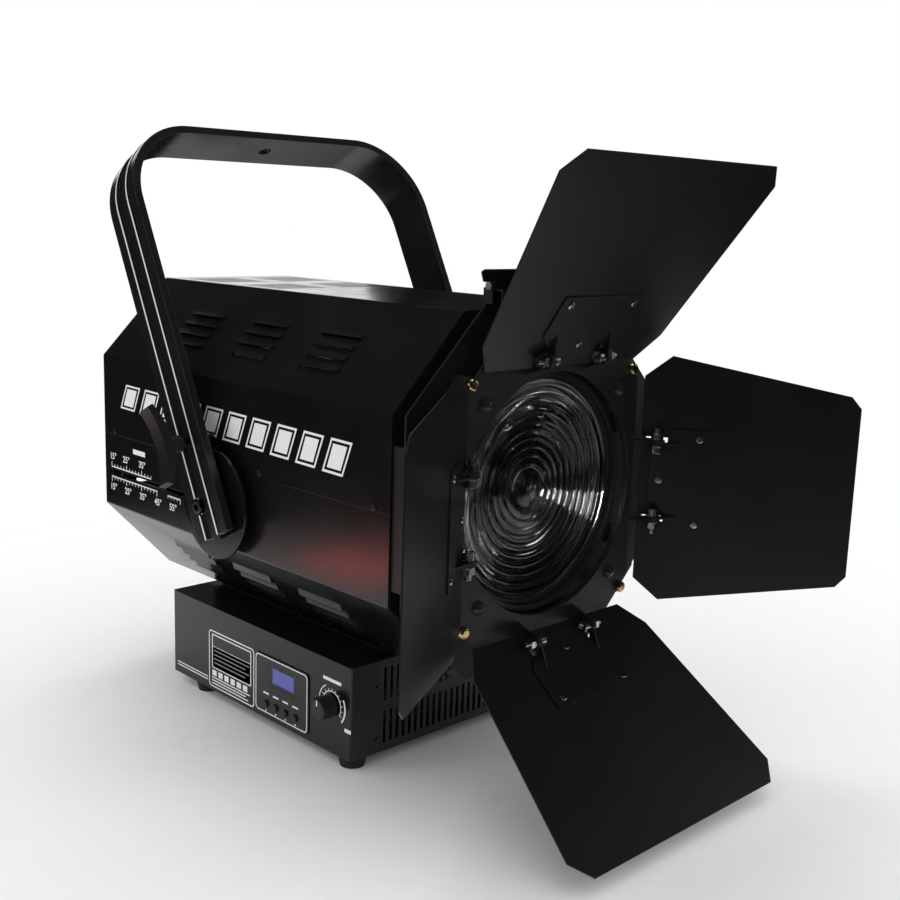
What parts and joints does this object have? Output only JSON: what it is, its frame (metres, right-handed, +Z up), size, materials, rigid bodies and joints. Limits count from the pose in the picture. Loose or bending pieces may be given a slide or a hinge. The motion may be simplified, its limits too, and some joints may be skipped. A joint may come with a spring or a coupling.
{
  "type": "theatre fresnel spotlight",
  "caption": "Zoom fresnel spotlight with an octagonal sheet-metal housing on a control base, a hanging yoke, a stepped glass lens and four hinged barn-door leaves.",
  "frame": {"origin": "on the floor, midway between the lamp's two sides, on the vertical line through the middle of the control base", "axes": "+Z up, the beam leaves along -Y, the dimmer and the beam-angle scale are on the -X side"},
  "size_m": [0.4876, 0.6618, 0.5567],
  "materials": {
    "black_paint": "satin black powder coat",
    "black_sheet": "matt black painted thin sheet",
    "steel": "bright zinc-plated steel",
    "brass": "bright brass",
    "aluminium": "plain drawn aluminium",
    "lens_glass": "clear moulded glass with stepped rings",
    "window": "blue-tinted clear window",
    "rubber": "black rubber",
    "black_plastic": "fine-textured black plastic",
    "board": "green lacquered circuit board",
    "mirror_metal": "polished reflector"
  },
  "bodies": {
    "root": {"upper_cover": "black_paint", "lower_cover": "black_paint", "inner_brackets": "black_paint", "case_screws": "black_paint", "front_panel": "black_paint", "rear_panel": "black_paint", "lens": "lens_glass", "lens_tube": "black_paint", "seals": "rubber", "front_flange": "black_paint", "gate_pin": "steel", "spacer_posts": "black_paint", "post_screws": "brass", "door_plate": "black_paint", "door_screws": "black_paint", "pivot_bosses": "black_paint", "pivot_discs": "black_paint", "base_shell": "black_paint", "base_floor": "black_paint", "feet": "rubber", "control_panel": "black_paint", "display_window": "window", "control_board": "board", "power_supply": "aluminium", "driver_board": "board", "power_inlet": "black_plastic", "data_sockets": "black_plastic", "guide_rods": "steel"},
    "leaf_top": {"leaf_top_plate": "black_sheet", "leaf_top_bracket": "black_sheet", "leaf_top_fasteners": "steel"},
    "leaf_right": {"leaf_right_plate": "black_sheet", "leaf_right_bracket": "black_sheet", "leaf_right_fasteners": "steel"},
    "leaf_bottom": {"leaf_bottom_plate": "black_sheet", "leaf_bottom_bracket": "black_sheet", "leaf_bottom_fasteners": "steel"},
    "leaf_left": {"leaf_left_plate": "black_sheet", "leaf_left_bracket": "black_sheet", "leaf_left_fasteners": "steel"},
    "gate": {"gate": "black_paint"},
    "yoke": {"yoke_bar": "black_paint", "pivot_bolts": "steel"},
    "tilt_handle": {"tilt_stud": "steel", "tilt_lever": "black_plastic"},
    "dimmer": {"dimmer_knob": "black_plastic"},
    "button_1": {"button_1": "black_plastic"},
    "button_2": {"button_2": "black_plastic"},
    "button_3": {"button_3": "black_plastic"},
    "button_4": {"button_4": "black_plastic"},
    "carriage": {"carriage_plate": "aluminium", "led_module": "aluminium", "reflector": "mirror_metal", "heat_sink": "aluminium", "fan_frame": "black_plastic", "zoom_pointer": "black_plastic"},
    "fan": {"fan_rotor": "black_plastic"},
    "zoom": {"lead_screw": "steel", "zoom_knob": "black_plastic"}
  },
  "joints": [
    {"name": "top_leaf_hinge", "type": "hinge", "parent": "root", "child": "leaf_top", "pos_m": [0, -0.27, 0.37], "axis": [-1, 0, 0], "range_deg": [-85, 29]},
    {"name": "bottom_leaf_hinge", "type": "hinge", "parent": "root", "child": "leaf_bottom", "pos_m": [0, -0.27, 0.136], "axis": [1, 0, 0], "range_deg": [-68, 46]},
    {"name": "right_leaf_hinge", "type": "hinge", "parent": "root", "child": "leaf_right", "pos_m": [0.117, -0.27, 0.253], "axis": [0, 0, -1], "range_deg": [-51, 63]},
    {"name": "left_leaf_hinge", "type": "hinge", "parent": "root", "child": "leaf_left", "pos_m": [-0.117, -0.27, 0.253], "axis": [0, 0, 1], "range_deg": [-28, 86]},
    {"name": "gate_hinge", "type": "hinge", "parent": "root", "child": "gate", "pos_m": [0, -0.238, 0.4275], "axis": [-1, 0, 0], "range_deg": [0, 70], "stiffness_Nm_per_rad": 0.02, "springref_deg": -34.38},
    {"name": "yoke_tilt", "type": "hinge", "parent": "root", "child": "yoke", "pos_m": [0, 0.0085, 0.2175], "axis": [1, 0, 0], "range_deg": [-60, 48]},
    {"name": "tilt_handle_turn", "type": "hinge", "parent": "yoke", "child": "tilt_handle", "pos_m": [-0.19, 0.02659, 0.27282], "axis": [-1, 0, 0], "range_deg": [-170, 170]},
    {"name": "dimmer_turn", "type": "hinge", "parent": "root", "child": "dimmer", "pos_m": [-0.13, -0.1165, 0.055], "axis": [-1, 0, 0], "range_deg": [-150, 150]},
    {"name": "carriage_slide", "type": "slide", "parent": "root", "child": "carriage", "axis": [0, 1, 0], "range_m": [-0.108, 0.016]},
    {"name": "fan_spin", "type": "hinge", "parent": "carriage", "child": "fan", "pos_m": [0, 0.14, 0.248], "axis": [0, 1, 0], "continuous": true},
    {"name": "zoom_turn", "type": "hinge", "parent": "root", "child": "zoom", "pos_m": [0, 0.226, 0.33], "axis": [0, 1, 0], "range_deg": [-1946, 290]},
    {"name": "button_1_press", "type": "slide", "parent": "root", "child": "button_1", "axis": [1, 0, 0], "range_m": [0, 0.0008], "stiffness_N_per_m": 400, "springref_m": -0.0012},
    {"name": "button_2_press", "type": "slide", "parent": "root", "child": "button_2", "axis": [1, 0, 0], "range_m": [0, 0.0008], "stiffness_N_per_m": 400, "springref_m": -0.0012},
    {"name": "button_3_press", "type": "slide", "parent": "root", "child": "button_3", "axis": [1, 0, 0], "range_m": [0, 0.0008], "stiffness_N_per_m": 400, "springref_m": -0.0012},
    {"name": "button_4_press", "type": "slide", "parent": "root", "child": "button_4", "axis": [1, 0, 0], "range_m": [0, 0.0008], "stiffness_N_per_m": 400, "springref_m": -0.0012}
  ],
  "couplings": [
    {"joint": "zoom_turn", "follows": "carriage_slide", "rad_per_m": 314.16}
  ]
}
